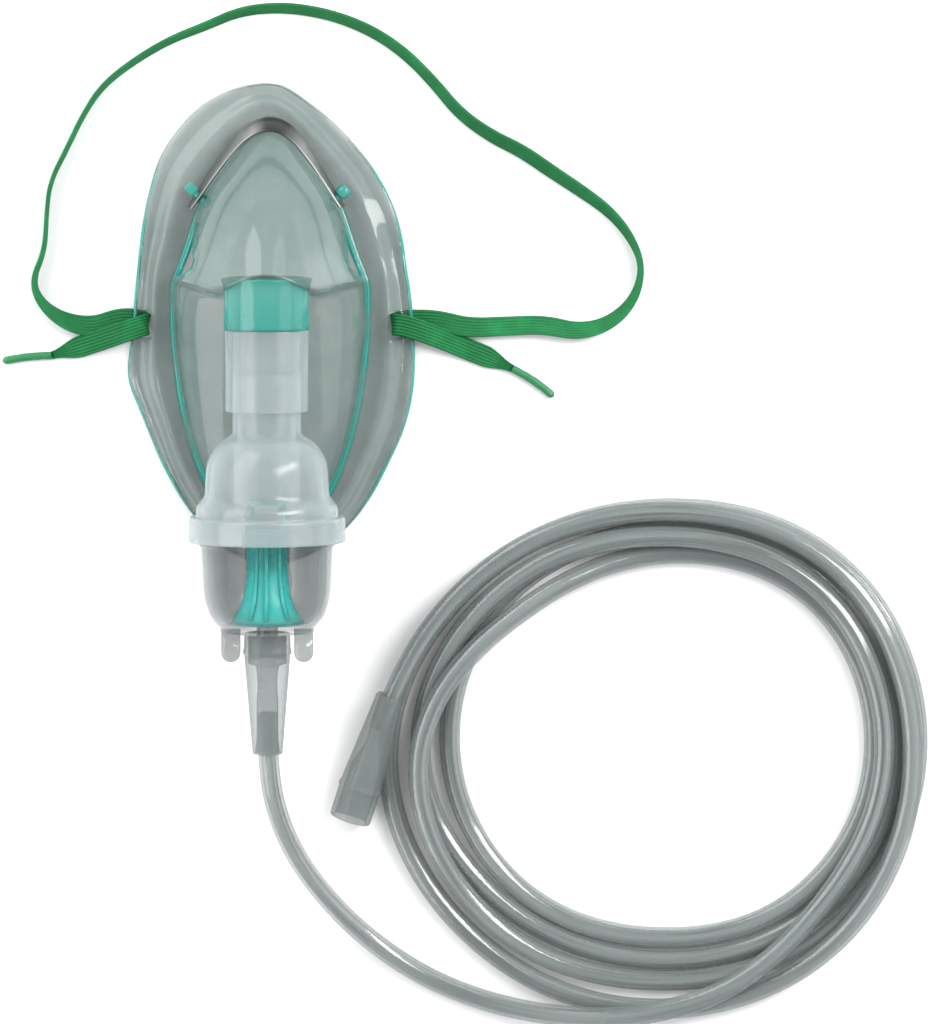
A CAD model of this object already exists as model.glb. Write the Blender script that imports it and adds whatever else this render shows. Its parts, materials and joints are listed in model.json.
"""Looks of an aerosol mask kit: a soft face mask, its nebulizer, head strap and coiled tubing.

Everything is in metres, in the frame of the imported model: the mask lies on z = 0, nose end
towards +Y. Tables of shape are in millimetres and pass through mm() on their way in.
"""

import json
from math import cos, pi, radians, sin, sqrt

import bmesh
import bpy
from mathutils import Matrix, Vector, noise
from mathutils.kdtree import KDTree


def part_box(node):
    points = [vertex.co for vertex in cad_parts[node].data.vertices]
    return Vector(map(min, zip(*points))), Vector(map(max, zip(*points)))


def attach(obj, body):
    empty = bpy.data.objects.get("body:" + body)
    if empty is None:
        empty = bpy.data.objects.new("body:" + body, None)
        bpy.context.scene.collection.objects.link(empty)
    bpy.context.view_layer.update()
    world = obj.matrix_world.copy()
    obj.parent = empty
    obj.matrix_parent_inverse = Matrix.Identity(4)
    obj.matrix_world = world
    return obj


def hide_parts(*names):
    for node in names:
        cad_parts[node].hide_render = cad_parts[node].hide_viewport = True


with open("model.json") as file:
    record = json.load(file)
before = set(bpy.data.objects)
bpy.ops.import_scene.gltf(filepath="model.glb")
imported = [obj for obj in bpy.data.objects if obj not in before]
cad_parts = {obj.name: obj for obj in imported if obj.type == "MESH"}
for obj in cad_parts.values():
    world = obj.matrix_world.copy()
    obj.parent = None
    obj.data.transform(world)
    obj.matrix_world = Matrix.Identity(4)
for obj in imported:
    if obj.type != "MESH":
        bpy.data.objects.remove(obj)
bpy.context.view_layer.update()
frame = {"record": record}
MM = 0.001
JOINTS = {joint["name"]: joint for joint in frame["record"]["behaviour"]["joints"]}


def mm(*values):
    """A point given in millimetres."""
    return Vector([value * MM for value in values])


# ---------------------------------------------------------------- small geometry tools
def between(before, start, end, after, t):
    """A smooth step from start to end, with slopes that suit their neighbours."""
    slope_in = (end - before) * 0.5
    slope_out = (after - start) * 0.5
    return (
        start * (2 * t**3 - 3 * t**2 + 1) + slope_in * (t**3 - 2 * t**2 + t)
        + end * (3 * t**2 - 2 * t**3) + slope_out * (t**3 - t**2)
    )


def smooth(values, place):
    """A smooth curve through evenly spaced numbers or vectors."""
    index = min(int(place), len(values) - 2)
    before = values[max(index - 1, 0)]
    after = values[min(index + 2, len(values) - 1)]
    return between(before, values[index], values[index + 1], after, place - index)


def smooth_line(points, steps):
    """The smooth line through some points, with this many steps from each to the next."""
    count = (len(points) - 1) * steps
    return [smooth(points, i / steps) for i in range(count)] + [points[-1]]


def distances(points):
    """How far along a line each of its points lies."""
    travelled = [0.0]
    for a, b in zip(points, points[1:]):
        travelled.append(travelled[-1] + (b - a).length)
    return travelled


def direction_at(points, i):
    """The line's direction at one of its points."""
    return (points[min(i + 1, len(points) - 1)] - points[max(i - 1, 0)]).normalized()


def ramp(value, low, high):
    """0 below low, 1 above high, and a smooth step between."""
    t = min(max((value - low) / (high - low), 0.0), 1.0)
    return t * t * (3 - 2 * t)


def fade(value, low, high):
    """1 below low, 0 above high, and a smooth step between."""
    return 1 - ramp(value, low, high)


def new_object(name, mesh):
    piece = bpy.data.objects.new(name, mesh)
    bpy.context.scene.collection.objects.link(piece)
    return piece


def outward_mesh(name, vertices, faces):
    """A mesh whose faces look outward."""
    mesh = bpy.data.meshes.new(name)
    mesh.from_pydata([tuple(v) for v in vertices], [], faces)
    shaping = bmesh.new()
    shaping.from_mesh(mesh)
    bmesh.ops.recalc_face_normals(shaping, faces=shaping.faces)
    shaping.to_mesh(mesh)
    shaping.free()
    return mesh


def mesh_piece(name, vertices, faces, material, body, smooth_shading=True):
    """A mesh object riding on a body."""
    mesh = outward_mesh(name, vertices, faces)
    for face in mesh.polygons:
        face.use_smooth = smooth_shading
    mesh.materials.append(material)
    piece = new_object(name, mesh)
    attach(piece, body)
    return piece


def softened(profile, radius, steps=4):
    """The closed profile with each corner rounded off."""
    rounded = []
    count = len(profile)
    for i, (r, s) in enumerate(profile):
        here = Vector((r, s))
        before = Vector(profile[i - 1]) - here
        after = Vector(profile[(i + 1) % count]) - here
        reach = min(radius, 0.45 * before.length, 0.45 * after.length)
        start = here + before.normalized() * reach
        end = here + after.normalized() * reach
        for step in range(steps + 1):
            t = step / steps
            rounded.append(start * (1 - t) ** 2 + here * (2 * t * (1 - t)) + end * t**2)
    return [(point.x, point.y) for point in rounded]


class Axis:
    """A line in space that round pieces are turned about."""

    def __init__(self, origin, direction):
        self.origin = Vector(origin)
        self.along = Vector(direction).normalized()
        level = Vector((0, 0, 1))
        self.side = self.along.cross(level).normalized()
        self.up = self.side.cross(self.along).normalized()

    def place(self, radius, angle, distance):
        """The point at this radius, angle from the side direction and distance, all in mm."""
        out = self.side * cos(angle) + self.up * sin(angle)
        return self.origin + self.along * (distance * MM) + out * (radius * MM)


def ring_faces(starts, count, capped=False):
    """Faces between rings of vertices, given where each ring starts, and over the end rings if capped."""
    faces = []
    if capped:
        faces.append(tuple(range(starts[0], starts[0] + count)))
        faces.append(tuple(reversed(range(starts[-1], starts[-1] + count))))
    for a, b in zip(starts, starts[1:]):
        for j in range(count):
            k = (j + 1) % count
            faces.append((a + j, a + k, b + k, b + j))
    return faces


def stacked(rings, count):
    """Closed faces over rings of vertices that follow each other without gaps."""
    return ring_faces([i * count for i in range(rings)], count, capped=True)


def turned_mesh(axis, profile, segments=96, start=0.0):
    """Vertices and faces of a closed profile of (radius, distance) turned about an axis."""
    vertices = []
    for i in range(segments):
        angle = start + 2 * pi * i / segments
        vertices.extend(axis.place(r, angle, s) for r, s in profile)
    starts = [i * len(profile) for i in range(segments)]
    return vertices, ring_faces(starts + [0], len(profile))


def join_parts(parts):
    """Several (vertices, faces) as one."""
    vertices, faces = [], []
    for part_vertices, part_faces in parts:
        base = len(vertices)
        vertices.extend(part_vertices)
        faces.extend([tuple(base + i for i in face) for face in part_faces])
    return vertices, faces


def centre_line(points, resolution):
    """Points along the smooth NURBS line that has these control points."""
    data = bpy.data.curves.new("route", "CURVE")
    data.dimensions = "3D"
    spline = data.splines.new("NURBS")
    spline.points.add(len(points) - 1)
    for place, point in zip(spline.points, points):
        place.co = (*point, 1.0)
    spline.order_u = 3
    spline.use_endpoint_u = True
    spline.resolution_u = resolution
    guide = bpy.data.objects.new("route", data)
    mesh = bpy.data.meshes.new_from_object(guide)
    line = [vertex.co.copy() for vertex in mesh.vertices]
    bpy.data.objects.remove(guide)
    bpy.data.curves.remove(data)
    bpy.data.meshes.remove(mesh)
    return line


def frames_along(line, first_side):
    """Tangent, side and up at each point of a line, without twisting."""
    side = Vector(first_side)
    rows = []
    for i, point in enumerate(line):
        tangent = direction_at(line, i)
        side = (side - tangent * side.dot(tangent)).normalized()
        rows.append((point, tangent, side, tangent.cross(side)))
    return rows


# ---------------------------------------------------------------- camera
VIEW_CENTRE = (0.0563, -0.02745)
VIEW_HEIGHT = 2.0
VIEW_TALL = 0.29696             # height of the picture at the floor
SENSOR_WIDTH = 36.0


def add_camera():
    data = bpy.data.cameras.new("camera")
    data.sensor_width = SENSOR_WIDTH
    data.lens = SENSOR_WIDTH * VIEW_HEIGHT / VIEW_TALL
    data.clip_start, data.clip_end = 0.05, 50.0
    camera = new_object("camera", data)
    camera.location = (*VIEW_CENTRE, VIEW_HEIGHT)
    bpy.context.scene.camera = camera


add_camera()

# ---------------------------------------------------------------- materials
STRAP_RIBS = 7
CLIP_BEND_AT = 0.0365           # metres along the clip
TINT = {
    "vinyl": (0.084, 0.138, 0.122),
    "vinyl_steep": (0.096, 0.168, 0.148),
    "teal": (0.0, 0.225, 0.180),
    "teal_deep": (0.0, 0.13, 0.110),
    "collar": (0.055, 0.30, 0.25),
    "collar_edge": (0.03, 0.30, 0.25),
    "insert": (0.03, 0.50, 0.445),
    "insert_edge": (0.0, 0.16, 0.145),
    "insert_thick": (0.0, 0.175, 0.160),
    "peg": (0.03, 0.30, 0.245),
    "peg_edge": (0.0, 0.15, 0.12),
    "milky": (0.290, 0.340, 0.346),
    "milky_edge": (0.36, 0.42, 0.43),
    "clear": (0.120, 0.140, 0.136),
    "clear_edge": (0.30, 0.33, 0.327),
    "tube": (0.156, 0.180, 0.174),
    "tube_pale": (0.225, 0.254, 0.246),
    "tube_line": (0.080, 0.094, 0.090),
    "tube_edge": (0.085, 0.100, 0.096),
    "strap": (0.004, 0.170, 0.042),
    "strap_dark": (0.002, 0.040, 0.013),
    "strap_light": (0.008, 0.24, 0.07),
    "tip": (0.008, 0.20, 0.060),
    "tip_dark": (0.002, 0.060, 0.018),
}
# the clip's metal, in the grooves and on the ridges of its rolled lines
CLIP_SATIN = (0.16, 0.165, 0.16), (0.34, 0.35, 0.34)
CLIP_PALE = (0.22, 0.23, 0.23), (0.38, 0.39, 0.38)
CLIP_TARNISHED = (0.018, 0.019, 0.017), (0.11, 0.115, 0.105)
RIM_ALPHA = 0.93                # density of the painted thick edges


def material_tree(name):
    material = bpy.data.materials.new(name)
    material.use_nodes = True
    tree = material.node_tree
    return material, tree, tree.nodes["Principled BSDF"]


def add_node(tree, kind, links=None, **settings):
    """A node with its inputs set, by name, to values or to other nodes' outputs."""
    node = tree.nodes.new(kind)
    for key, value in settings.items():
        setattr(node, key, value)
    for key, value in (links or {}).items():
        socket = node.inputs[key]
        if isinstance(value, bpy.types.NodeSocket):
            tree.links.new(value, socket)
        else:
            socket.default_value = value
    return node


def noise_node(tree, scale, detail=3.0, stretch=(1, 1, 1), roughness=0.55):
    place = add_node(tree, "ShaderNodeTexCoord").outputs["Object"]
    mapped = add_node(tree, "ShaderNodeMapping", {"Vector": place, "Scale": stretch}).outputs[0]
    return add_node(
        tree, "ShaderNodeTexNoise",
        {"Vector": mapped, "Scale": scale, "Detail": detail, "Roughness": roughness},
    ).outputs["Fac"]


def remap(tree, value, low, high, to_low, to_high):
    return add_node(
        tree, "ShaderNodeMapRange",
        {"Value": value, "From Min": low, "From Max": high, "To Min": to_low, "To Max": to_high},
    ).outputs["Result"]


def maths(tree, operation, first, second=0.0):
    return add_node(tree, "ShaderNodeMath", {0: first, 1: second}, operation=operation).outputs[0]


def mix_colour(tree, factor, first, second):
    node = tree.nodes.new("ShaderNodeMix")
    node.data_type = "RGBA"
    for key, value in (("Factor_Float", factor), ("A_Color", first), ("B_Color", second)):
        socket = next(s for s in node.inputs if s.identifier == key)
        if isinstance(value, bpy.types.NodeSocket):
            tree.links.new(value, socket)
        elif key == "Factor_Float":
            socket.default_value = value
        else:
            socket.default_value = (*value, 1.0)
    return next(s for s in node.outputs if s.identifier == "Result_Color")


def part_of(tree, vector, part):
    return add_node(tree, "ShaderNodeSeparateXYZ", {"Vector": vector}).outputs[part]


def surface_part(tree, what, part):
    """One part of the surface's Position, in metres, or of its Normal, from -1 to 1."""
    return part_of(tree, add_node(tree, "ShaderNodeNewGeometry").outputs[what], part)


def seen_along(tree, exponent):
    """1 where the surface is seen along itself, falling off face on."""
    facing = add_node(tree, "ShaderNodeLayerWeight", {"Blend": 0.5}).outputs["Facing"]
    return maths(tree, "POWER", facing, exponent)


def tape_place(tree):
    """Distance along a piece and turn round it, from the map that paint_places makes."""
    return add_node(tree, "ShaderNodeUVMap", uv_map="tape").outputs[0]


def above_axis(tree):
    """How far the surface lies above the port's axis, in metres."""
    pos, along = JOINTS["adaptor_swivel"]["pos_m"], JOINTS["adaptor_swivel"]["axis"]
    slope = along[2] / along[1]
    rise = maths(tree, "MULTIPLY", surface_part(tree, "Position", "Y"), slope)
    line = maths(tree, "ADD", rise, pos[2] - slope * pos[1])
    return maths(tree, "SUBTRACT", surface_part(tree, "Position", "Z"), line)


def bump(tree, shader, height, strength, distance):
    node = add_node(
        tree, "ShaderNodeBump", {"Height": height, "Strength": strength, "Distance": distance}
    )
    tree.links.new(node.outputs["Normal"], shader.inputs["Normal"])


def film(name, face, edge, alpha, roughness, specular=0.5, mottle=0.05, facing_power=2.0,
         steep=None, rim=None, far=None, ior=1.5):
    """A clear moulded plastic: thin face on and denser where it is seen along its surface.

    alpha is its density face on and along its surface, mottle how much that varies. steep is
    the colour of walls that stand upright, rim the colour of the painted thick edges, far the
    density of the half that lies below the port's axis, next to the table.
    """
    material, tree, shader = material_tree(name)
    edge_on = seen_along(tree, facing_power)
    clouds = noise_node(tree, 170.0, 2.0)
    dense = remap(tree, edge_on, 0.0, 1.0, alpha[0], alpha[1])
    if far:
        low = remap(tree, above_axis(tree), -0.001, 0.005, 1.0, 0.0)
        dense = remap(tree, low, 0.0, 1.0, dense, far)
    dense = maths(tree, "MULTIPLY", dense, remap(tree, clouds, 0.3, 0.7, 1 - mottle, 1 + mottle))
    patches = remap(tree, noise_node(tree, 40.0, 1.0), 0.35, 0.65, 0.0, 0.5)
    colour = mix_colour(tree, patches, face, [0.9 * c for c in face])
    if steep:
        height = surface_part(tree, "Position", "Z")
        dense = maths(tree, "MULTIPLY", dense, remap(tree, height, 0.005, 0.020, 0.80, 1.0))
        level = maths(tree, "ABSOLUTE", surface_part(tree, "Normal", "Z"))
        upright = maths(tree, "SUBTRACT", 1.0, level)
        colour = mix_colour(tree, maths(tree, "POWER", upright, 1.6), colour, steep)
    else:
        colour = mix_colour(tree, edge_on, colour, edge)
    if rim:
        marked = add_node(tree, "ShaderNodeAttribute", attribute_name="rim").outputs["Fac"]
        colour = mix_colour(tree, marked, colour, rim)
        dense = remap(tree, marked, 0.0, 1.0, dense, RIM_ALPHA)
    tree.links.new(colour, shader.inputs["Base Color"])
    tree.links.new(add_node(tree, "ShaderNodeClamp", {"Value": dense}).outputs[0], shader.inputs["Alpha"])
    rough = remap(tree, clouds, 0.3, 0.7, roughness * 0.8, roughness * 1.3)
    tree.links.new(rough, shader.inputs["Roughness"])
    shader.inputs["Specular IOR Level"].default_value = specular
    shader.inputs["IOR"].default_value = ior
    bump(tree, shader, clouds, 0.12, 0.00002)
    return material


def tube_material():
    """Extruded clear vinyl: fine streaks run along it, and it is dense at its edges."""
    material, tree, shader = material_tree("tubing_vinyl")
    place = tape_place(tree)
    turn = maths(tree, "MULTIPLY", part_of(tree, place, "Y"), 2 * pi)
    around = add_node(
        tree, "ShaderNodeCombineXYZ",
        {"X": maths(tree, "MULTIPLY", part_of(tree, place, "X"), 5.0),
         "Y": maths(tree, "COSINE", turn), "Z": maths(tree, "SINE", turn)},
    ).outputs[0]
    fine, broad = [
        add_node(
            tree, "ShaderNodeTexNoise", {"Vector": around, "Scale": scale, "Detail": detail}
        ).outputs["Fac"]
        for scale, detail in ((5.0, 3.0), (1.7, 1.0))
    ]
    edge_on = seen_along(tree, 4.0)
    streaks = mix_colour(tree, remap(tree, fine, 0.40, 0.54, 0.0, 1.0), TINT["tube_line"], TINT["tube"])
    bands = mix_colour(tree, remap(tree, broad, 0.40, 0.62, 0.0, 0.6), streaks, TINT["tube_pale"])
    tree.links.new(mix_colour(tree, edge_on, bands, TINT["tube_edge"]), shader.inputs["Base Color"])
    dense = remap(tree, edge_on, 0.0, 1.0, 0.50, 0.92)
    dense = maths(tree, "MULTIPLY", dense, remap(tree, fine, 0.3, 0.7, 1.15, 0.85))
    tree.links.new(dense, shader.inputs["Alpha"])
    tree.links.new(remap(tree, fine, 0.3, 0.7, 0.09, 0.15), shader.inputs["Roughness"])
    shader.inputs["Specular IOR Level"].default_value = 1.0
    bump(tree, shader, fine, 0.35, 0.00006)
    return material


def strap_material():
    """Knitted elastic: dark grooves between lengthwise ribs, and rows of stitches across them."""
    material, tree, shader = material_tree("strap_knit")
    place = tape_place(tree)
    turns = maths(tree, "MULTIPLY", part_of(tree, place, "Y"), 4 * pi * STRAP_RIBS)
    groove = remap(tree, maths(tree, "COSINE", turns), 0.0, 1.0, 0.0, 1.0)
    stitches = add_node(
        tree, "ShaderNodeTexWave",
        {"Vector": place, "Scale": 1.0, "Distortion": 2.0, "Detail": 2.0, "Detail Scale": 2.0},
        wave_type="BANDS", bands_direction="X",
    ).outputs["Fac"]
    fuzz = noise_node(tree, 2600.0, 3.0)
    rows = remap(tree, stitches, 0.0, 1.0, 0.55, 1.0)
    tone = maths(tree, "MULTIPLY", rows, remap(tree, fuzz, 0.3, 0.7, 0.6, 1.0))
    tone = maths(tree, "MULTIPLY", tone, remap(tree, groove, 0.0, 1.0, 1.0, 0.25))
    colour = mix_colour(tree, tone, TINT["strap_dark"], TINT["strap"])
    patches = remap(tree, noise_node(tree, 130.0, 2.0), 0.45, 0.75, 0.0, 0.3)
    light = mix_colour(tree, patches, colour, TINT["strap_light"])
    tree.links.new(light, shader.inputs["Base Color"])
    tree.links.new(remap(tree, fuzz, 0.3, 0.7, 0.55, 0.8), shader.inputs["Roughness"])
    shader.inputs["Sheen Weight"].default_value = 0.06
    shader.inputs["Sheen Roughness"].default_value = 0.4
    shader.inputs["Sheen Tint"].default_value = (0.25, 0.8, 0.4, 1.0)
    shader.inputs["Specular IOR Level"].default_value = 0.25
    bump(tree, shader, tone, 0.8, 0.00018)
    return material


def tip_material():
    """The strap's ends, where the tape is fused and its threads still show."""
    material, tree, shader = material_tree("strap_tip_sealed")
    fibres = noise_node(tree, 900.0, 4.0, stretch=(1, 3, 3))
    colour = mix_colour(tree, fibres, TINT["tip_dark"], TINT["tip"])
    tree.links.new(colour, shader.inputs["Base Color"])
    tree.links.new(remap(tree, fibres, 0.3, 0.7, 0.3, 0.55), shader.inputs["Roughness"])
    bump(tree, shader, fibres, 0.7, 0.0002)
    return material


def clip_material():
    """Rolled aluminium: fine lines along it, tarnished darker round its bend."""
    material, tree, shader = material_tree("clip_aluminium")
    place = tape_place(tree)
    fine = add_node(tree, "ShaderNodeMapping", {"Vector": place, "Scale": (40, 60, 1)}).outputs[0]
    lines = add_node(tree, "ShaderNodeTexNoise", {"Vector": fine, "Scale": 1.0, "Detail": 4.0}).outputs["Fac"]
    marks = remap(tree, noise_node(tree, 420.0, 5.0), 0.6, 0.8, 0.0, 0.15)
    along = part_of(tree, place, "X")
    from_bend = maths(tree, "ABSOLUTE", maths(tree, "SUBTRACT", along, CLIP_BEND_AT))
    satin, pale, dark = [mix_colour(tree, lines, *metal) for metal in (CLIP_SATIN, CLIP_PALE, CLIP_TARNISHED)]
    right_arm = remap(tree, along, CLIP_BEND_AT, CLIP_BEND_AT + 0.008, 0.0, 1.0)
    arms = mix_colour(tree, right_arm, satin, pale)
    colour = mix_colour(tree, remap(tree, from_bend, 0.003, 0.010, 0.0, 1.0), dark, arms)
    tree.links.new(colour, shader.inputs["Base Color"])
    shader.inputs["Metallic"].default_value = 1.0
    rough = maths(tree, "ADD", remap(tree, lines, 0.3, 0.7, 0.32, 0.46), marks)
    tree.links.new(rough, shader.inputs["Roughness"])
    bump(tree, shader, lines, 0.2, 0.00005)
    return material


MATERIALS = {
    "mask": film(
        "mask_vinyl", TINT["vinyl"], None, (0.46, 0.68), 0.08, specular=0.55,
        steep=TINT["vinyl_steep"], rim=TINT["teal"],
    ),
    "collar": film(
        "collar_vinyl", TINT["collar"], TINT["collar_edge"], (0.42, 0.80), 0.12, rim=TINT["teal_deep"],
    ),
    "milky": film(
        "milky_plastic", TINT["milky"], TINT["milky_edge"], (0.20, 0.80), 0.16, specular=0.8, mottle=0.02,
    ),
    "cap": film(
        "cap_plastic", TINT["milky"], TINT["milky_edge"], (0.20, 0.85), 0.20, specular=0.9, mottle=0.03,
        rim=TINT["milky"],
    ),
    "clear": film(
        "clear_plastic", TINT["clear"], TINT["clear_edge"], (0.05, 0.88), 0.05, specular=0.6, mottle=0.03,
        far=0.60,
    ),
    "vinyl": film(
        "connector_vinyl", TINT["tube"], TINT["tube_line"], (0.44, 0.92), 0.16, facing_power=2.5, ior=1.3,
    ),
    "teal": film(
        "teal_plastic", TINT["insert"], TINT["insert_edge"], (0.55, 0.98), 0.25, specular=0.3,
        facing_power=1.2, rim=TINT["insert_thick"],
    ),
    "peg": film("peg_vinyl", TINT["peg"], TINT["peg_edge"], (0.62, 0.95), 0.15),
    "tube": tube_material(),
    "strap": strap_material(),
    "tip": tip_material(),
    "clip": clip_material(),
}

# ---------------------------------------------------------------- tubing
TUBE_D, TUBE_BORE = 6.0, 4.0
TUBE_SIDES = 28
TUBE_RUN = [                    # metres, the route of the free stretch
    (0.0, -0.08466, 0.02942), (0.0, -0.10011, 0.02821),
    (0.0026, -0.1147, 0.0234), (0.0086, -0.1282, 0.0156),
    (0.0184, -0.1414, 0.0082), (0.0310, -0.1532, 0.0039),
    (0.0460, -0.1628, 0.0030), (0.0628, -0.1694, 0.0033),
    (0.0805, -0.1730, 0.0062), (0.0985, -0.1736, 0.0098),
]
COIL_CENTRE = (0.1121, -0.09705)
# each turn's radius and height at S, SE, E, NE, N, NW, W and SW, metres
COIL_TURNS = [
    [(0.0745, 0.0098), (0.0644, 0.0098), (0.0656, 0.0092), (0.0666, 0.0088), (0.0626, 0.0091),
     (0.0656, 0.0090), (0.0690, 0.0030), (0.0624, 0.0030)],
    [(0.0598, 0.0030), (0.0650, 0.0030), (0.0693, 0.0030), (0.0699, 0.0030), (0.0642, 0.0030),
     (0.0630, 0.0030), (0.0602, 0.0030), (0.0562, 0.0030)],
    [(0.0535, 0.0030), (0.0588, 0.0030), (0.0630, 0.0030), (0.0635, 0.0030), (0.0574, 0.0030),
     (0.0568, 0.0092), (0.0693, 0.0102), (0.0688, 0.0052)],
    [(0.0660, 0.0030), (0.0712, 0.0030), (0.0755, 0.0030), (0.0762, 0.0030), (0.0706, 0.0030),
     (0.0724, 0.0030), (0.0784, 0.0030), (0.0756, 0.0030)],
    [(0.0744, 0.0030), (0.0752, 0.0080), (0.0738, 0.0092), (0.0746, 0.0092), (0.0698, 0.0093),
     (0.0727, 0.0100), (0.0796, 0.0134)],
]
KNOT_STEP = 45.0                # degrees from each of those to the next
COIL_STEP, COIL_END = 15.0, 1695.0
COIL_SWELL = 1.0057             # the smooth line runs this much inside its points
INTO_SUPPLY = (0.03175, -0.0900, 0.0108)
INLET_MOUTH = 121.3             # the tubing leaves the inlet connector here, along the port axis


def coil_points():
    """The control points of the coil, every few degrees."""
    knots = [knot for turn in COIL_TURNS for knot in turn]
    radii = [radius for radius, height in knots]
    heights = [height for radius, height in knots]
    points = []
    for i in range(int(COIL_END / COIL_STEP) + 1):
        turned_by = i * COIL_STEP
        radius = smooth(radii, turned_by / KNOT_STEP) * COIL_SWELL
        height = max(smooth(heights, turned_by / KNOT_STEP), TUBE_D / 2 * MM)
        angle = radians(turned_by - 90)
        x = COIL_CENTRE[0] + radius * cos(angle)
        y = COIL_CENTRE[1] + radius * sin(angle)
        points.append((x, y, height))
    return points


def port_axis():
    joint = JOINTS["adaptor_swivel"]
    return Axis(joint["pos_m"], joint["axis"])


def tube_mesh(line, outer, inner, sides):
    """A hollow tube along a line, with each vertex's distance and turn for its streaks."""
    rows = frames_along(line, (0, 0, 1))
    travelled = distances(line)
    vertices, places, rings = [], [], []
    for radius, order in ((outer, 1), (inner, -1)):
        for i in range(len(rows))[::order]:
            point, tangent, side, up = rows[i]
            rings.append(len(vertices))
            for k in range(sides):
                angle = 2 * pi * k / sides
                vertices.append(point + (side * cos(angle) + up * sin(angle)) * (radius * MM))
                places.append((travelled[i], k / sides))
    return vertices, ring_faces(rings + rings[:1], sides), places


def paint_places(piece, places, scale):
    """Store distance along a piece, and turn round it, as the UV map that its texture follows."""
    layer = piece.data.uv_layers.new(name="tape")
    for face in piece.data.polygons:
        turns = [places[piece.data.loops[i].vertex_index][1] for i in face.loop_indices]
        for i in face.loop_indices:
            u, v = places[piece.data.loops[i].vertex_index]
            if max(turns) - v > 0.5:
                v += 1.0
            layer.data[i].uv = (u * scale, v)


def add_tubing():
    points = TUBE_RUN + coil_points() + [INTO_SUPPLY]
    line = centre_line(points, 6)
    vertices, faces, places = tube_mesh(line, TUBE_D / 2, TUBE_BORE / 2, TUBE_SIDES)
    tubing = mesh_piece("supply_tubing", vertices, faces, MATERIALS["tube"], "mask")
    paint_places(tubing, places, 1.0)
    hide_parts("tubing_run", "tubing_coil")
    return tubing, line


# ---------------------------------------------------------------- strap
STRAP_WIDTH, STRAP_THICK = 6.2, 1.0
# metres, then the tape's roll in degrees: 0 lies flat, 90 stands on edge
STRAP = [
    (-0.0634, 0.0179, 0.0007, 0), (-0.0570, 0.0199, 0.0009, 0), (-0.0490, 0.0224, 0.0024, 8),
    (-0.0424, 0.0246, 0.0041, 0), (-0.0386, 0.0259, 0.0043, 0), (-0.0356, 0.0268, 0.0042, 0),
    (-0.0355, 0.0270, 0.0007, 0), (-0.0388, 0.0284, 0.0006, 0), (-0.0440, 0.0286, 0.0006, 0),
    (-0.0514, 0.0260, 0.0009, 10), (-0.0594, 0.0276, 0.0022, 40), (-0.0662, 0.0326, 0.0030, 70),
    (-0.0690, 0.0394, 0.0032, 84), (-0.0652, 0.0482, 0.0032, 88), (-0.0647, 0.0586, 0.0032, 90),
    (-0.0638, 0.0679, 0.0032, 90), (-0.0587, 0.0779, 0.0032, 88), (-0.0544, 0.0870, 0.0032, 88),
    (-0.0489, 0.0956, 0.0032, 85), (-0.0402, 0.1026, 0.0032, 82), (-0.0292, 0.1092, 0.0032, 80),
    (-0.0189, 0.1131, 0.0032, 76), (-0.0082, 0.1178, 0.0031, 72), (0.0046, 0.1188, 0.0031, 68),
    (0.0176, 0.1166, 0.0031, 68), (0.0290, 0.1122, 0.0030, 66), (0.0388, 0.1057, 0.0030, 66),
    (0.0472, 0.0972, 0.0030, 66), (0.0550, 0.0877, 0.0029, 62), (0.0644, 0.0812, 0.0028, 58),
    (0.0730, 0.0771, 0.0028, 56), (0.0816, 0.0711, 0.0028, 56), (0.0903, 0.0654, 0.0029, 60),
    (0.0982, 0.0597, 0.0030, 66), (0.1042, 0.0526, 0.0031, 74), (0.1080, 0.0440, 0.0032, 84),
    (0.1058, 0.0344, 0.0030, 70), (0.0990, 0.0274, 0.0026, 50), (0.0896, 0.0246, 0.0021, 36),
    (0.0794, 0.0269, 0.0018, 28), (0.0680, 0.0264, 0.0017, 26), (0.0576, 0.0259, 0.0015, 22),
    (0.0486, 0.0280, 0.0009, 8), (0.0428, 0.0282, 0.0006, 0), (0.0388, 0.0280, 0.0006, 0),
    (0.0355, 0.0270, 0.0007, 0), (0.0356, 0.0268, 0.0042, 0), (0.0388, 0.0265, 0.0043, 0),
    (0.0428, 0.0253, 0.0041, 0), (0.0494, 0.0229, 0.0024, -8), (0.0574, 0.0197, 0.0009, 0),
    (0.0644, 0.0169, 0.0007, 0), (0.0702, 0.0141, 0.0007, 0),
]
LEVEL_LIMIT = 0.2               # a run steeper than this keeps the sideways direction before it
GATHER = 9.0                    # the tape is gathered into its tip over this length, mm
RIB_DEPTH = 0.16
EAR = (36.0, 26.8)              # centre of the strap's slot in each ear of the flange, mm


def strap_across():
    """The direction across the tape at each point of its route."""
    points = [Vector(row[:3]) for row in STRAP]
    side = Vector((0, 1, 0))
    directions = []
    for i, point in enumerate(points):
        along = direction_at(points, i)
        level_side = Vector((0, 0, 1)).cross(along)
        if level_side.length > LEVEL_LIMIT:
            side = level_side.normalized() * (-1 if level_side.dot(side) < 0 else 1)
        up = along.cross(side).normalized()
        roll = radians(STRAP[i][3])
        directions.append(side * cos(roll) + up * sin(roll))
    return directions


def tape_section(width, thick, ribs, groove):
    """A closed outline of (across, out) for a ribbed tape, in mm."""
    steps = ribs * 4
    top = []
    for i in range(steps + 1):
        t = i / steps
        rib = groove * (0.5 + 0.5 * cos(2 * pi * ribs * t))
        shoulder = min(t, 1 - t) * ribs * 2
        height = thick / 2 * min(1.0, 0.55 + 0.45 * shoulder) - rib
        top.append((width * (t - 0.5), height))
    return top + [(x, -y) for x, y in reversed(top)]


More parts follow.
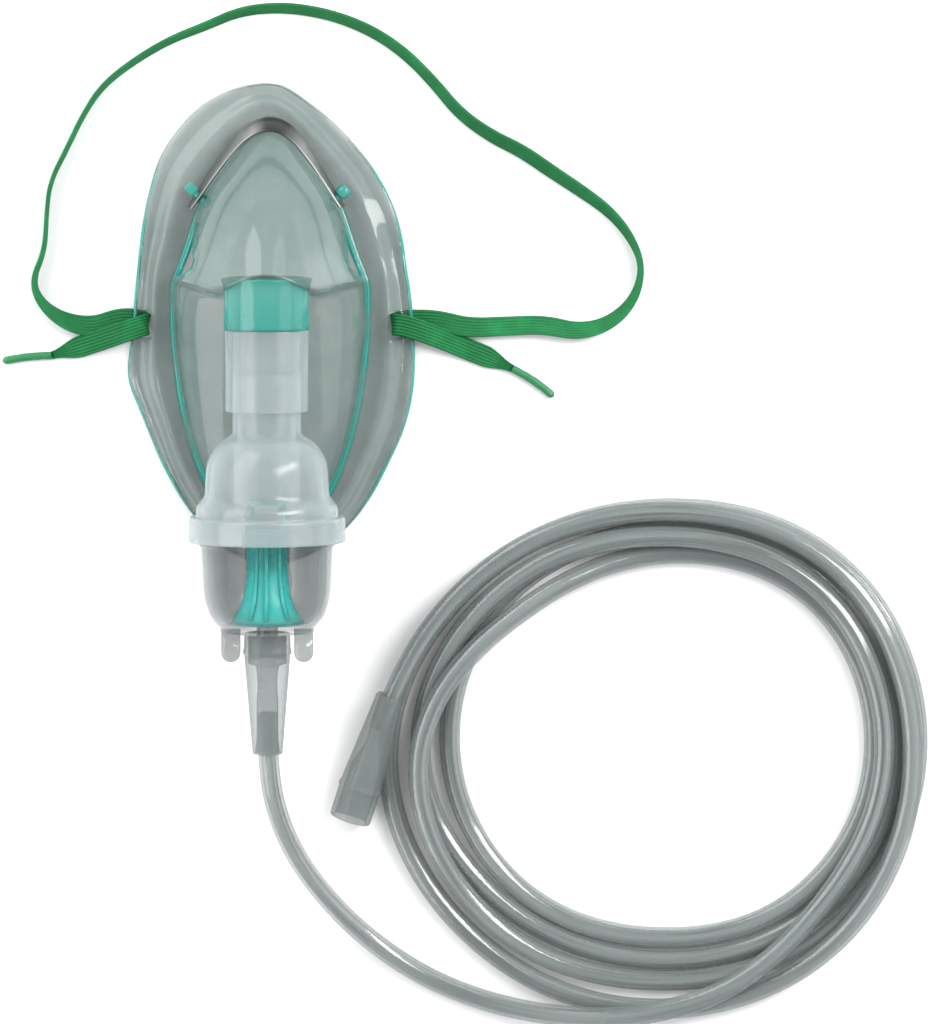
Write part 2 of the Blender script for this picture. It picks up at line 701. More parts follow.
def tape_mesh(rows, section, scale_at):
    """Rings of a flat tape; rows are (point, across, out), scale_at(i) gives width and thickness."""
    vertices, places = [], []
    count = len(section)
    travelled = distances([point for point, across, out in rows])
    for i, (point, across, out) in enumerate(rows):
        wide, thick = scale_at(i)
        for j, (x, y) in enumerate(section):
            vertices.append(point + across * (x * wide * MM) + out * (y * thick * MM))
            places.append((travelled[i], j / count))
    return vertices, stacked(len(rows), count), places


def add_strap():
    """The ribbed tape, gathered at both ends; its edge line gives the direction across it."""
    points = [Vector(row[:3]) for row in STRAP]
    reach = [point + across * 0.01 for point, across in zip(points, strap_across())]
    line = centre_line(points, 8)
    edge = centre_line(reach, 8)
    rows = []
    for i, point in enumerate(line):
        along = direction_at(line, i)
        across = edge[i] - point
        across = (across - along * across.dot(along)).normalized()
        rows.append((point, across, along.cross(across)))
    travelled = distances(line)
    total = travelled[-1]
    rib_wave = [1 + 0.02 * noise.noise(Vector((d * 60, 0, 0))) for d in travelled]

    def scale_at(i):
        from_end = min(travelled[i], total - travelled[i]) / MM
        open_out = ramp(from_end, 0.0, GATHER)
        return (0.36 + 0.64 * open_out) * rib_wave[i], 1.9 - 0.9 * open_out

    section = tape_section(STRAP_WIDTH, STRAP_THICK, STRAP_RIBS, RIB_DEPTH)
    vertices, faces, places = tape_mesh(rows, section, scale_at)
    strap = mesh_piece("head_strap", vertices, faces, MATERIALS["strap"], "mask")
    paint_places(strap, places, 900.0)
    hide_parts("elastic_strap")
    return strap, line


def add_tip(name, start, end, node):
    """A pinched end: a slim, slightly flattened and lumpy tag."""
    middle = (start + end) * 0.5 + mm(0.5, 0.7, 0.25)
    line = centre_line([start, start.lerp(middle, 0.6), middle.lerp(end, 0.4), end], 10)
    rows = frames_along(line, (0, 0, 1))
    sides = 16
    vertices = []
    for i, (point, tangent, side, up) in enumerate(rows):
        t = i / (len(rows) - 1)
        rounding = sqrt(max(1 - max((t - 0.93) / 0.07, 0.0) ** 2, 0.02))
        for k in range(sides):
            angle = 2 * pi * k / sides
            lump = 1 + 0.10 * noise.noise(Vector((t * 9, cos(angle), sin(angle))))
            x, y = cos(angle) * 0.95, sin(angle) * 1.12
            vertices.append(point + (side * x + up * y) * (lump * rounding * MM))
    piece = mesh_piece(name, vertices, stacked(len(rows), sides), MATERIALS["tip"], "mask")
    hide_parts(node)
    return piece


def add_strap_and_tips():
    strap, line = add_strap()
    left_box, right_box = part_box("strap_tip_left"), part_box("strap_tip_right")
    left_end = Vector((left_box[0][0] + 0.0004, left_box[0][1] + 0.0012, 0.0011))
    right_end = Vector((right_box[1][0] - 0.0006, right_box[0][1] + 0.0008, 0.0011))
    lift = mm(0, 0, 0.4)
    left = add_tip("tip_left", line[0] + lift, left_end, "strap_tip_left")
    right = add_tip("tip_right", line[-1] + lift, right_end, "strap_tip_right")


tubing, tubing_line = add_tubing()
add_strap_and_tips()

# ---------------------------------------------------------------- mask
WALL = 1.2
FOOT = 1.2                      # height of the domes' foot, where the flange starts
FLANGE_LOW = 1.25               # the flange's skin lies at least this high
# nose to chin along the middle: y, half width at the flange, height, how far the row bows back
MASK_ROWS = [
    (86.4, 0.8, 1.7, 0), (85.2, 3.0, 3.8, 0), (83.2, 5.2, 7.0, 0),
    (80.0, 7.6, 12.2, 0), (75.6, 10.6, 19.2, 0),
    (70.4, 14.2, 26.8, 0), (64.4, 18.4, 34.0, 0), (58.4, 21.0, 39.8, 0), (52.2, 23.0, 44.6, 0.1),
    (46.8, 24.8, 47.9, 0.3), (42.8, 26.4, 50.2, 0.6),
    (40.6, 27.3, 51.5, 0.85), (39.5, 27.7, 52.0, 0.95),
    (38.9, 27.8, 51.2, 1.0), (38.6, 27.85, 48.6, 1.0),
    (38.5, 27.9, 43.0, 1.0), (38.4, 27.95, 35.0, 1.0),
    (38.2, 28.0, 28.6, 1.0), (37.7, 28.0, 25.2, 1.0), (36.6, 28.1, 23.8, 0.9), (34.2, 28.1, 23.2, 0.6),
    (29.0, 28.2, 22.7, 0.2), (22.6, 27.9, 22.0, 0), (14.6, 27.0, 20.8, 0), (5.8, 25.8, 18.8, 0),
    (-3.4, 23.9, 15.8, 0), (-11.8, 21.4, 12.8, 0), (-19.6, 18.2, 9.8, 0), (-26.8, 13.6, 7.2, 0),
    (-32.2, 8.8, 4.7, 0), (-35.4, 4.6, 3.0, 0), (-37.0, 1.0, 1.7, 0),
]
BOW = 3.4                       # the ledge sags this far on each side of the port
BORE_R, BORE_START, BORE_LENGTH = 11.35, -15.4, 18.0
# outer edge of the flange: x and y, nose to chin, on each side
FLANGE_RIGHT = [
    (-1.0, 97.0), (2.6, 96.6), (6.3, 94.9), (9.4, 92.8),
    (13.6, 89.6), (17.9, 86.0), (20.8, 83.2), (24.9, 78.8),
    (28.3, 74.5), (31.2, 70.2), (35.6, 61.8), (38.2, 52.8), (39.5, 44.0), (40.8, 35.4), (41.6, 27.0),
    (42.0, 17.5), (41.6, 8.0), (40.0, 0.2), (37.6, -6.8), (34.2, -13.6), (30.8, -20.6), (26.2, -27.6),
    (20.6, -33.8), (12.2, -39.6), (1.0, -43.0),
]
FLANGE_LEFT = [
    (-2.4, 97.0), (-6.6, 96.4), (-12.0, 94.8), (-18.6, 91.4),
    (-23.2, 87.6), (-27.2, 83.0), (-30.2, 78.8),
    (-32.5, 74.4), (-35.1, 65.8), (-36.9, 57.0), (-38.0, 48.4),
    (-38.9, 39.8), (-39.5, 33.0), (-39.9, 26.0),
    (-40.6, 20.0), (-41.6, 14.0), (-40.9, 8.6), (-38.3, 3.4),
    (-36.4, -1.6), (-34.2, -7.0), (-31.3, -14.0),
    (-27.4, -21.0), (-22.8, -28.0), (-12.0, -38.8), (-1.0, -43.0),
]
# where the ledge is thickest beside the port: x and y
LEDGE_TEAL_LEFT = [(-10.6, 37.2), (-13.4, 35.4), (-17.0, 34.6)]
LEDGE_TEAL_RIGHT = [(10.8, 37.0), (13.4, 34.8), (16.6, 34.2), (20.4, 35.8)]
# flange across: how far out, height above the floor
FLANGE_PROFILE = [
    (0.05, 1.25), (0.14, 1.3), (0.24, 1.9), (0.36, 3.4),
    (0.46, 4.0), (0.56, 3.4), (0.66, 2.1), (0.76, 1.5),
    (0.84, 1.5), (0.91, 2.3), (0.96, 2.4), (0.99, 1.8), (1.0, 1.3),
]


def dense_rows():
    """The mask's rows, with one more between each two."""
    return smooth_line([Vector(row) for row in MASK_ROWS], 2)


def arch_row(row, points=30):
    """One arch across the mask, left foot to right foot."""
    y, width, height, bow = row
    arch = []
    for i in range(points + 1):
        angle = pi * i / points
        x = -width * cos(angle)
        lift = max(sin(angle), 0.0)
        back = bow * BOW * sin(pi * min(abs(x) / width, 1.0)) ** 2
        fullness = 0.92 - 0.2 * fade(y, 30.0, 40.0)
        arch.append(Vector((x, y - back, FOOT + (height - FOOT) * lift**fullness)))
    return arch


def at_fraction(outline, fraction):
    """The point this far along an outline, by length."""
    lengths = distances(outline)
    target = fraction * lengths[-1]
    for i in range(len(outline) - 1):
        if target <= lengths[i + 1]:
            span = lengths[i + 1] - lengths[i]
            return smooth(outline, i + (target - lengths[i]) / span)
    return outline[-1]


def fractions(outline):
    """How far along an outline each of its points lies, from 0 to 1."""
    lengths = distances(outline)
    return [length / lengths[-1] for length in lengths]


def flange_height(x, y, out):
    """Slow waves in the soft flange."""
    wave = noise.noise(Vector((x * 0.045, y * 0.045, 3.0)))
    ripple = noise.noise(Vector((x * 0.16, y * 0.16, 8.0)))
    return (1.1 * wave + 0.55 * ripple) * ramp(out, 0.1, 0.9)


def mask_skin():
    """The mask's outer skin: two domes with a ledge between, and the flange round them."""
    arches = [arch_row(row) for row in dense_rows()]
    across = len(arches[0])
    vertices = [point for arch in arches for point in arch]
    faces = []
    for i in range(len(arches) - 1):
        for j in range(across - 1):
            a = i * across + j
            faces.append((a, a + 1, a + across + 1, a + across))
    last = (len(arches) - 1) * across
    faces.append(tuple(range(across - 1, -1, -1)))
    faces.append(tuple(range(last, last + across)))
    left = [i * across for i in range(len(arches))]
    right = [i * across + across - 1 for i in range(len(arches))]
    loop = right + left[::-1]
    inner = [vertices[i] for i in loop]
    right_edge = [Vector((x, y, 0)) for x, y in FLANGE_RIGHT]
    left_edge = [Vector((x, y, 0)) for x, y in FLANGE_LEFT]
    right_share = fractions([vertices[i] for i in right])
    left_share = fractions([vertices[i] for i in left])
    outer = [at_fraction(right_edge, f) for f in right_share]
    outer += [at_fraction(left_edge, f) for f in left_share[::-1]]
    previous = loop
    for out, height in FLANGE_PROFILE:
        ring = []
        for foot, rim in zip(inner, outer):
            x = foot.x + (rim.x - foot.x) * out
            y = foot.y + (rim.y - foot.y) * out
            ring.append(len(vertices))
            z = max(height + flange_height(x, y, out), FLANGE_LOW)
            vertices.append(Vector((x, y, z)))
        for k in range(len(loop)):
            n = (k + 1) % len(loop)
            faces.append((previous[k], previous[n], ring[n], ring[k]))
        previous = ring
    return [v * MM for v in vertices], faces


def apply_modifiers(piece):
    """Bake the piece's modifiers into its mesh."""
    bpy.context.view_layer.update()
    depsgraph = bpy.context.evaluated_depsgraph_get()
    baked = bpy.data.meshes.new_from_object(piece.evaluated_get(depsgraph))
    piece.modifiers.clear()
    piece.data = baked


def cut(piece, vertices, faces):
    """Take a closed shape out of the piece."""
    cutter = new_object("cutter", outward_mesh("cutter", vertices, faces))
    trim = piece.modifiers.new("cut", "BOOLEAN")
    trim.operation = "DIFFERENCE"
    trim.solver = "EXACT"
    trim.use_self = True
    trim.use_hole_tolerant = True
    trim.object = cutter
    apply_modifiers(piece)
    bpy.data.objects.remove(cutter)
    tidying = bmesh.new()
    tidying.from_mesh(piece.data)
    bmesh.ops.dissolve_degenerate(tidying, dist=1e-6, edges=tidying.edges)
    tidying.to_mesh(piece.data)
    tidying.free()
    piece.data.validate()


def prism(outline, direction):
    """A closed prism from an outline and its far copy."""
    vertices = list(outline) + [point + direction for point in outline]
    return vertices, stacked(2, len(outline))


# the vents through the nose dome's walls: y and z
VENT_LEFT = [
    (46.0, 3.4), (42.2, 3.8), (40.6, 8.0), (40.5, 21.0),
    (42.0, 29.0), (45.0, 28.0), (50.4, 19.0), (56.0, 9.0),
]
VENT_RIGHT = [
    (46.0, 3.4), (42.2, 3.8), (40.7, 8.0), (40.7, 18.0),
    (42.2, 23.6), (44.6, 23.0), (49.6, 16.0), (54.0, 9.0),
]


def vent_prism(side):
    """A rounded prism through one wall of the nose dome."""
    outline = [Vector((side * 16.0, y, z)) for y, z in (VENT_LEFT if side < 0 else VENT_RIGHT)]
    steps = 4
    dense = []
    for i in range(len(outline)):
        around = [outline[(i + k) % len(outline)] for k in (-1, 0, 1, 2)]
        dense.extend(between(*around, step / steps) for step in range(steps))
    return prism([point * MM for point in dense], mm(side * 13.2, 0, 0))


def slot_prism(side):
    """The strap's slot through an ear of the flange."""
    outline = []
    half_x, half_y, corner = 2.0, 3.8, 1.2
    for cx, cy, turn in ((1, 1, 0), (-1, 1, 90), (-1, -1, 180), (1, -1, 270)):
        for step in range(5):
            angle = radians(turn + 22.5 * step)
            x = cx * (half_x - corner) + corner * cos(angle)
            y = cy * (half_y - corner) + corner * sin(angle)
            outline.append(mm(side * EAR[0] + x, EAR[1] + y, -2.0))
    return prism(outline, mm(0, 0, 9.0))


def bore_prism():
    """The round way through the ledge into the mask."""
    axis = port_axis()
    sides = 64
    outline = [axis.place(BORE_R, 2 * pi * i / sides, BORE_START) for i in range(sides)]
    return prism(outline, axis.along * (BORE_LENGTH * MM))


def dense_tree(outlines, spacing=0.3):
    """A nearest-point lookup along some flat outlines, in mm."""
    points = []
    for outline in outlines:
        for a, b in zip(outline, outline[1:]):
            count = max(int((b - a).length / spacing), 1)
            points.extend(a.lerp(b, i / count) for i in range(count))
    tree = KDTree(len(points))
    for i, point in enumerate(points):
        tree.insert(point, i)
    tree.balance()
    return tree


def on_floor(outline):
    """A smooth line through flat points, for nearest-point lookups."""
    return smooth_line([Vector((x, y, 0)) for x, y in outline], 8)


def paint_rim(piece):
    """Mark where the vinyl is thick or cut, which looks deep teal."""
    mesh = piece.data
    layer = mesh.attributes.new("rim", "FLOAT", "POINT")
    rows = dense_rows()
    feet = dense_tree([[Vector((side * row[1], row[0], 0)) for row in rows] for side in (-1, 1)])
    edges = dense_tree([on_floor(FLANGE_LEFT), on_floor(FLANGE_RIGHT)])
    vents = [
        dense_tree([[Vector((0, y, z)) for y, z in vent + vent[:1]]]) for vent in (VENT_LEFT, VENT_RIGHT)
    ]
    wings = dense_tree([on_floor(LEDGE_TEAL_LEFT), on_floor(LEDGE_TEAL_RIGHT)])
    for i, vertex in enumerate(mesh.vertices):
        x, y, z = vertex.co / MM
        flat = Vector((x, y, 0))
        cloud = noise.noise(Vector((x * 0.09, y * 0.09, 1.0)))
        foot = fade(feet.find(flat)[2], 0.4, 1.5) * fade(z, 4.5, 9.0)
        foot *= (0.80 + 0.5 * cloud) * ramp(y, -34, -20) * (1 - 0.6 * ramp(y, 50, 75))
        edge = fade(edges.find(flat)[2], 0.4, 1.4) * ramp(y, -38, -20) * fade(y, 66, 80)
        edge *= 0.85 + 0.5 * cloud
        vent = 0.0
        if 14 < abs(x) < 27.5:
            vent = 0.95 * fade(vents[x > 0].find(Vector((0, y, z)))[2], 0.7, 1.7)
        wing = 0.9 * fade(wings.find(flat)[2], 0.8, 1.7) * ramp(z, 22.0, 25.0) * fade(z, 34.0, 46.0)
        layer.data[i].value = min(max(foot, edge, vent, wing, 0.0), 1.0)


def add_mask():
    vertices, faces = mask_skin()
    mask = mesh_piece("face_mask", vertices, faces, MATERIALS["mask"], "mask")
    smooth_steps = mask.modifiers.new("smooth", "SUBSURF")
    smooth_steps.levels = smooth_steps.render_levels = 1
    wall = mask.modifiers.new("wall", "SOLIDIFY")
    wall.thickness = WALL * MM
    wall.offset = -1.0
    wall.use_even_offset = True
    wall.use_quality_normals = True
    apply_modifiers(mask)
    openings = [bore_prism()]
    for side in (-1, 1):
        openings += [vent_prism(side), slot_prism(side)]
    cut(mask, *join_parts(openings))
    for face in mask.data.polygons:
        face.use_smooth = True
    paint_rim(mask)
    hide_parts("mask_shell")


def paint_along(piece, value_at):
    """Mark a turned piece by the distance along the port's axis and the radius, both in mm."""
    layer = piece.data.attributes.new("rim", "FLOAT", "POINT")
    axis = port_axis()
    for i, vertex in enumerate(piece.data.vertices):
        away = (vertex.co - axis.origin) / MM
        along = away.dot(axis.along)
        layer.data[i].value = value_at(along, (away - axis.along * along).length)


def add_collar():
    """The port's collar, flared where it springs from the ledge."""
    profile = [
        (11.25, -0.2), (11.5, 0.0), (12.1, -0.1), (12.2, -0.7),
        (12.1, -3.0), (12.15, -9.0), (12.3, -11.6),
        (12.5, -13.0), (12.9, -14.0), (13.0, -14.6), (12.6, -14.9), (11.3, -15.0), (11.25, -12.0),
    ]
    vertices, faces = turned_mesh(port_axis(), softened(profile, 0.5), 96)
    collar = mesh_piece("port_collar", vertices, faces, MATERIALS["collar"], "mask")

    def thick_at(along, radius):
        return 0.95 * ramp(along, -1.0, -0.6) + 0.5 * fade(along, -14.6, -13.0)

    paint_along(collar, thick_at)


add_mask()
add_collar()

# ---------------------------------------------------------------- nebulizer
RING_HAZE = 0.30                # the threaded ring is thicker, so milkier, than the dome
TURNED_SIDES = 128


def add_turned(name, axis, profile, material, body, node, rounding, extras=()):
    """A turned piece with softened corners, and any extra parts of the same moulding."""
    turned = turned_mesh(axis, softened(profile, rounding), TURNED_SIDES)
    vertices, faces = join_parts([turned, *extras])
    piece = mesh_piece(name, vertices, faces, MATERIALS[material], body)
    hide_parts(node)
    return piece


def add_adaptor():
    """The sleeve: a stub in the collar, a stop, and the socket for the neck."""
    profile = [
        (9.4, -12.6), (11.1, -12.6), (11.15, -0.6), (11.9, 0.1),
        (11.8, 10.0), (11.75, 22.9), (11.6, 23.1),
        (9.85, 23.1), (9.8, 12.8), (9.4, 12.6),
    ]
    add_turned(
        "adaptor_sleeve", port_axis(), profile, "milky", "adaptor", "port_adaptor", 0.4
    )


def curve_profile(points, steps=6):
    """A smooth profile through a few points."""
    return [tuple(point) for point in smooth_line([Vector(point) for point in points], steps)]


def add_cap():
    """The chimney inside the neck, the dome with its shoulder, and the threaded ring."""
    neck = [(8.3, 50.0), (8.3, 13.0), (9.6, 13.0), (9.7, 14.0), (9.75, 29.2)]
    outer_dome = curve_profile([
        (10.2, 30.0), (11.6, 30.9), (13.6, 32.3), (15.5, 34.5), (16.8, 37.2), (17.4, 40.2),
        (17.6, 44.0), (17.8, 47.0), (18.8, 48.7), (19.8, 49.8), (20.2, 51.2),
    ])
    ring = [
        (20.3, 53.1), (21.9, 53.2), (22.3, 53.8), (22.4, 59.9), (22.2, 60.3), (20.7, 60.3),
        (20.6, 53.9), (18.1, 53.9),
    ]
    inner_dome = curve_profile([
        (19.0, 51.8), (18.8, 50.6), (17.9, 49.5), (16.9, 48.0), (16.5, 46.2), (16.3, 43.4),
        (16.1, 40.6), (15.6, 38.0), (14.5, 35.6), (12.7, 33.6), (10.9, 32.3), (9.9, 31.8),
    ])
    profile = neck + outer_dome + ring + inner_dome + [(9.5, 31.7), (9.4, 50.0)]
    cap = add_turned(
        "nebulizer_cap_shell", port_axis(), profile, "cap", "cap", "nebulizer_cap", 0.25
    )
    paint_along(cap, lambda along, radius: RING_HAZE * ramp(along, 49.0, 53.0) * ramp(radius, 11.0, 17.0))


def thread(axis, radius, depth, start, pitch, turns, width):
    """A screw thread's ridge, fading in and out at its ends."""
    steps = int(turns * 72)
    vertices = []
    for i in range(steps + 1):
        t = i / steps
        angle = 2 * pi * turns * t
        fade = ramp(t, 0, 0.08) * (1 - ramp(t, 0.92, 1.0))
        distance = start + pitch * turns * t
        for r, s in ((radius - 0.3, -width / 2), (radius + depth * fade, -width / 5),
                     (radius + depth * fade, width / 5), (radius - 0.3, width / 2)):
            vertices.append(axis.place(r, angle, distance + s))
    return vertices, stacked(steps + 1, 4)


def foot(axis, side):
    """A rounded flat tab under the jar."""
    outline = []
    half, length, bottom = 2.75, 8.9, 86.0
    for i in range(13):
        angle = pi * i / 12
        outline.append((half * cos(angle), bottom + length - half + half * sin(angle)))
    outline = [(half, bottom - 0.6)] + outline + [(-half, bottom - 0.6)]
    vertices = []
    for depth, inset in ((-1.3, 0.35), (-0.95, 0.0), (0.95, 0.0), (1.3, 0.35)):
        for x, s in outline:
            shrink = 1 - inset / half
            out = axis.side * ((side * 10.4 + x * shrink) * MM) + axis.up * (depth * MM)
            reach = s - inset * (1 if s > bottom + length - half else 0)
            vertices.append(axis.origin + axis.along * (reach * MM) + out)
    return vertices, stacked(4, len(outline))


def add_jar():
    """The jar with its spigot and the jet's hollow cone, its thread and its two feet."""
    axis = port_axis()
    outer = curve_profile([(18.7, 62.0), (18.4, 69.0), (17.9, 76.0), (16.3, 81.4), (13.5, 84.9)])
    inner = curve_profile([(12.2, 83.6), (14.9, 80.6), (16.5, 75.6), (17.0, 69.0), (17.3, 62.4)])
    mouth = [(17.4, 53.9), (19.4, 53.9), (19.5, 61.0)]
    spigot = [(13.4, 85.4), (13.5, 86.2), (5.5, 86.2), (5.4, 94.0), (3.3, 94.0)]
    jet_cone = [(3.0, 84.0), (0.7, 60.2), (0.35, 59.4), (0.35, 58.5), (1.3, 58.5), (1.8, 60.0), (4.4, 84.0)]
    profile = mouth + outer + spigot + jet_cone + inner
    extras = [thread(axis, 19.45, 0.7, 55.2, 2.2, 2.2, 1.1), foot(axis, -1), foot(axis, 1)]
    add_turned("medicine_jar", axis, profile, "clear", "jar", "medication_jar", 0.3, extras)


def rib(axis, angle, inner, outer, half_width):
    """A lengthwise fin between two profiles of (radius, distance)."""
    vertices, faces = [], []
    for (r0, s0), (r1, s1) in zip(inner, outer):
        for r, s in ((r0, s0), (r1, s1)):
            for turn in (-1, 1):
                vertices.append(axis.place(r, angle + turn * half_width / max(r, 1.0), s))
    count = len(inner)
    for i in range(count - 1):
        a, b = i * 4, i * 4 + 4
        for j, k in ((0, 1), (1, 3), (3, 2), (2, 0)):
            faces.append((a + j, a + k, b + k, b + j))
    faces.append((0, 1, 3, 2))
    faces.append(tuple((count - 1) * 4 + j for j in (2, 3, 1, 0)))
    return vertices, faces


def add_insert():
    """Baffle disc on posts, a ribbed tube and a flared skirt."""
    axis = port_axis()
    disc = softened([(0.001, 48.5), (6.3, 48.5), (6.3, 49.6), (0.001, 49.9)], 0.2)
    skirt = curve_profile([(5.9, 56.4), (5.9, 64.0), (6.0, 70.0), (7.1, 76.6), (8.9, 80.9), (10.5, 83.2)])
    lining = [(r - 0.9, s) for r, s in reversed(skirt)]
    lining[0] = (9.6, 83.9)
    wall = skirt + [(10.9, 83.3), (10.9, 83.9)] + lining
    parts = [turned_mesh(axis, disc, 64), turned_mesh(axis, softened(wall, 0.12, 2), 96)]
    for turn in (20, 160, 200, 340):
        post_in = [(4.4, 49.3), (4.4, 57.0)]
        post_out = [(5.8, 49.3), (5.8, 57.0)]
        parts.append(rib(axis, radians(turn), post_in, post_out, 1.1))
    for turn in (62, 90, 128, 242, 270, 308):
        inside = [(5.6, 57.0), (5.6, 69.0), (6.6, 76.6), (9.2, 82.4)]
        outside = [(6.4, 57.4), (6.5, 69.0), (7.9, 76.6), (10.4, 82.4)]
        parts.append(rib(axis, radians(turn), inside, outside, 0.55))
    vertices, faces = join_parts(parts)
    insert = mesh_piece("jet_insert_moulding", vertices, faces, MATERIALS["teal"], "jet")
    paint_along(insert, lambda along, radius: fade(along, 66.0, 73.0) + 0.9 * ramp(along, 82.6, 83.2))
    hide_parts("jet_insert")


def add_inlet():
    """The funnel connector between the jar's spigot and the tubing."""
    profile = [
        (5.55, 86.5), (6.6, 86.5), (6.72, 91.0), (6.98, 91.6),
        (6.98, 92.3), (6.62, 92.8), (4.35, 120.9),
        (4.1, 121.3), (3.7, 121.3), (3.12, 117.0), (3.12, 105.2),
        (2.9, 104.6), (2.9, 98.8), (3.4, 96.0), (5.55, 95.2),
    ]
    add_turned("inlet_funnel", port_axis(), profile, "vinyl", "feed", "inlet_connector", 0.3)


SUPPLY_FROM = (34.9, -80.4, 12.0)
SUPPLY_TO = (23.1, -116.3, 6.1)


def add_supply_connector():
    """The funnel connector on the tubing's free end."""
    start, end = mm(*SUPPLY_FROM), mm(*SUPPLY_TO)
    axis = Axis(start, end - start)
    length = (end - start).length / MM
    profile = [
        (3.02, 0.0), (3.7, 0.0), (4.05, 0.5), (6.1, 27.2),
        (6.4, 27.9), (6.42, 28.8), (6.1, 29.4), (6.05, length - 0.5),
        (5.7, length), (5.0, length), (4.8, length - 0.6), (4.8, 22.0),
        (2.6, 15.0), (2.6, 10.6), (3.02, 10.2),
    ]
    return add_turned("supply_funnel", axis, profile, "vinyl", "mask", "supply_connector", 0.3)


add_adaptor()
add_cap()
add_jar()
add_insert()
add_inlet()
tuple(port_axis().place(0, 0, INLET_MOUTH))
add_supply_connector()

# ---------------------------------------------------------------- nose clip
CLIP = [                        # mm, then its lean in degrees
    (-23.2, 60.4, 6.2, 74), (-20.2, 64.9, 6.4, 68), (-16.4, 70.6, 6.8, 62), (-12.4, 76.0, 7.2, 58),
    (-8.5, 80.5, 7.4, 52), (-4.5, 83.5, 7.4, 38), (0.0, 84.6, 7.2, 32), (4.3, 83.4, 7.2, 38),
    (8.1, 80.0, 7.4, 54), (11.7, 75.3, 7.4, 62), (15.2, 70.0, 7.0, 68), (18.4, 64.9, 6.6, 72),
    (21.0, 60.6, 6.2, 74),
]
CLIP_WIDTH, CLIP_THICK = 5.0, 0.6


def clip_rows(steps=6):
    """Points of the clip's middle line, each with its directions across and out."""
    dense = smooth_line([Vector(row) for row in CLIP], steps)
    line = [row.xyz for row in dense]
    placed = []
    for i, row in enumerate(dense):
        along = direction_at(line, i)
        outward = Vector((0, 0, 1)).cross(along).normalized()
        lean = radians(row.w)
        across = (Vector((0, 0, 1)) * sin(lean) - outward * cos(lean)).normalized()
        placed.append((row.xyz * MM, across, along.cross(across).normalized()))
    return placed


def add_clip():
    """The bent strip of aluminium, with rounded corners."""
    half, thick, corner = CLIP_WIDTH / 2, CLIP_THICK / 2, 0.18
    section = [
        (-half + corner, -thick), (half - corner, -thick),
        (half, -thick + corner), (half, thick - corner),
        (half - corner, thick), (-half + corner, thick),
        (-half, thick - corner), (-half, -thick + corner),
    ]
    vertices, faces, places = tape_mesh(clip_rows(), section, lambda i: (1.0, 1.0))
    clip = mesh_piece("nose_strip", vertices, faces, MATERIALS["clip"], "mask")
    paint_places(clip, places, 1.0)
    bevel = clip.modifiers.new("edge", "BEVEL")
    bevel.width = 0.00012
    bevel.segments = 2
    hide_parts("nose_clip")


def add_pegs():
    """The moulded pegs that the clip hangs on: square heads on the left, a round one on the right."""
    rows = clip_rows()
    for index, name, sides in ((5, "peg_left", 4), (len(rows) - 5, "peg_right", 24)):
        centre, across, normal = rows[index]
        outward = Vector((centre.x, 0.02, 0)).normalized()
        axis = Axis(centre, outward)
        head = [(0.001, 1.0), (1.7, 1.0), (1.95, 1.4), (1.95, 3.9), (1.6, 4.3), (0.001, 4.4)]
        pin = [(0.001, -1.6), (1.0, -1.6), (1.0, 1.2), (0.001, 1.2)]
        root = [(0.001, -4.4), (1.3, -4.3), (1.9, -3.7), (1.8, -1.4), (1.4, -1.0), (0.001, -1.0)]
        turned_head = turned_mesh(axis, head, sides, pi / 4)
        vertices, faces = join_parts([turned_head, turned_mesh(axis, pin, 16), turned_mesh(axis, root, 5)])
        mesh_piece(name, vertices, faces, MATERIALS["peg"], "mask", sides > 4)


add_clip()
add_pegs()

# ---------------------------------------------------------------- studio
FLOOR_HALF = 2.2
FLOOR_NEAR, FLOOR_FAR = (0.35, (0.70, 0.70, 0.70)), (1.2, (0.98, 0.98, 0.98))
LIGHT_DISTANCE = 1.4
LIGHT_TARGET = Vector((0.04, -0.02, 0.02))
# name, azimuth and angle from the vertical in degrees, size in metres, power in watts
LIGHTS = [
    ("softbox_left", 165, 53, (3.6, 1.0), 50.0),
    ("softbox_right", 20, 51, (3.0, 0.9), 15.0),
    ("key", 28, 44, (0.34, 1.20), 22.0),
]


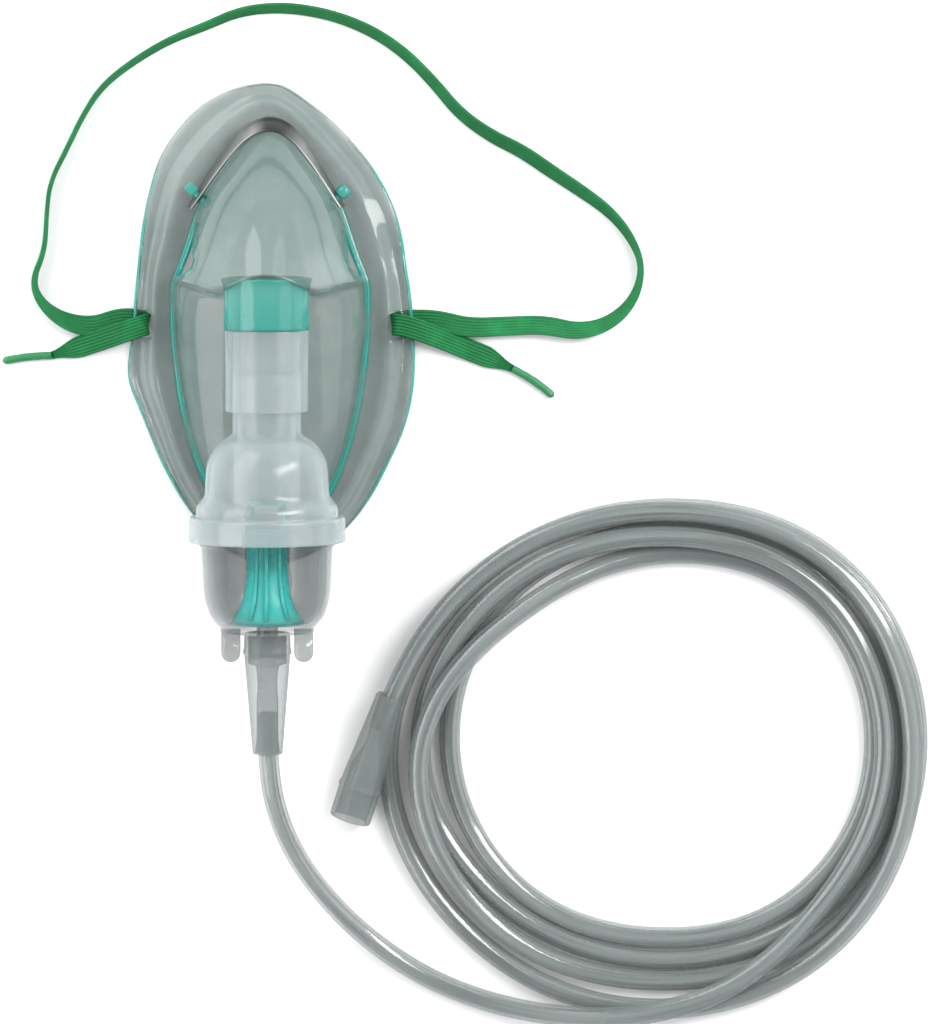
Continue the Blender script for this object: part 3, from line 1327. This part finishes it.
def add_floor():
    """A white table, which turns paler far away so that it meets the pale room."""
    half = FLOOR_HALF
    corners = [(-half, -half, 0), (half, -half, 0), (half, half, 0), (-half, half, 0)]
    mesh = bpy.data.meshes.new("floor")
    mesh.from_pydata(corners, [], [(0, 1, 2, 3)])
    floor = new_object("floor", mesh)
    material, tree, shader = material_tree("floor_white")
    place = add_node(tree, "ShaderNodeNewGeometry").outputs["Position"]
    away = add_node(tree, "ShaderNodeVectorMath", {0: place}, operation="LENGTH").outputs["Value"]
    share = remap(tree, away, FLOOR_NEAR[0], FLOOR_FAR[0], 0.0, 1.0)
    tree.links.new(mix_colour(tree, share, FLOOR_NEAR[1], FLOOR_FAR[1]), shader.inputs["Base Color"])
    shader.inputs["Roughness"].default_value = 0.9
    shader.inputs["Specular IOR Level"].default_value = 0.0
    mesh.materials.append(material)
    floor.location.z = -0.0002


def add_softbox(name, azimuth, from_vertical, size, energy):
    data = bpy.data.lights.new(name, "AREA")
    data.shape = "RECTANGLE"
    data.size, data.size_y = size
    data.energy = energy
    light = new_object(name, data)
    a, v = radians(azimuth), radians(from_vertical)
    direction = Vector((sin(v) * cos(a), sin(v) * sin(a), cos(v)))
    light.location = LIGHT_TARGET + direction * LIGHT_DISTANCE
    light.rotation_mode = "QUATERNION"
    light.rotation_quaternion = direction.to_track_quat("Z", "Y")


def add_world():
    """A pale room: bright walls and a dimmer ceiling."""
    world = bpy.data.worlds.new("studio")
    world.use_nodes = True
    tree = world.node_tree
    direction = add_node(tree, "ShaderNodeTexCoord").outputs["Generated"]
    strength = remap(tree, part_of(tree, direction, "Z"), 0.05, 0.75, 1.20, 0.66)
    background = tree.nodes["Background"]
    background.inputs["Color"].default_value = (0.96, 0.98, 1.0, 1.0)
    tree.links.new(strength, background.inputs["Strength"])
    bpy.context.scene.world = world


def add_studio():
    add_floor()
    for light in LIGHTS:
        add_softbox(*light)
    add_world()
    bpy.context.scene.view_settings.view_transform = "Standard"
    bpy.context.scene.cycles.transparent_max_bounces = 32


add_studio()
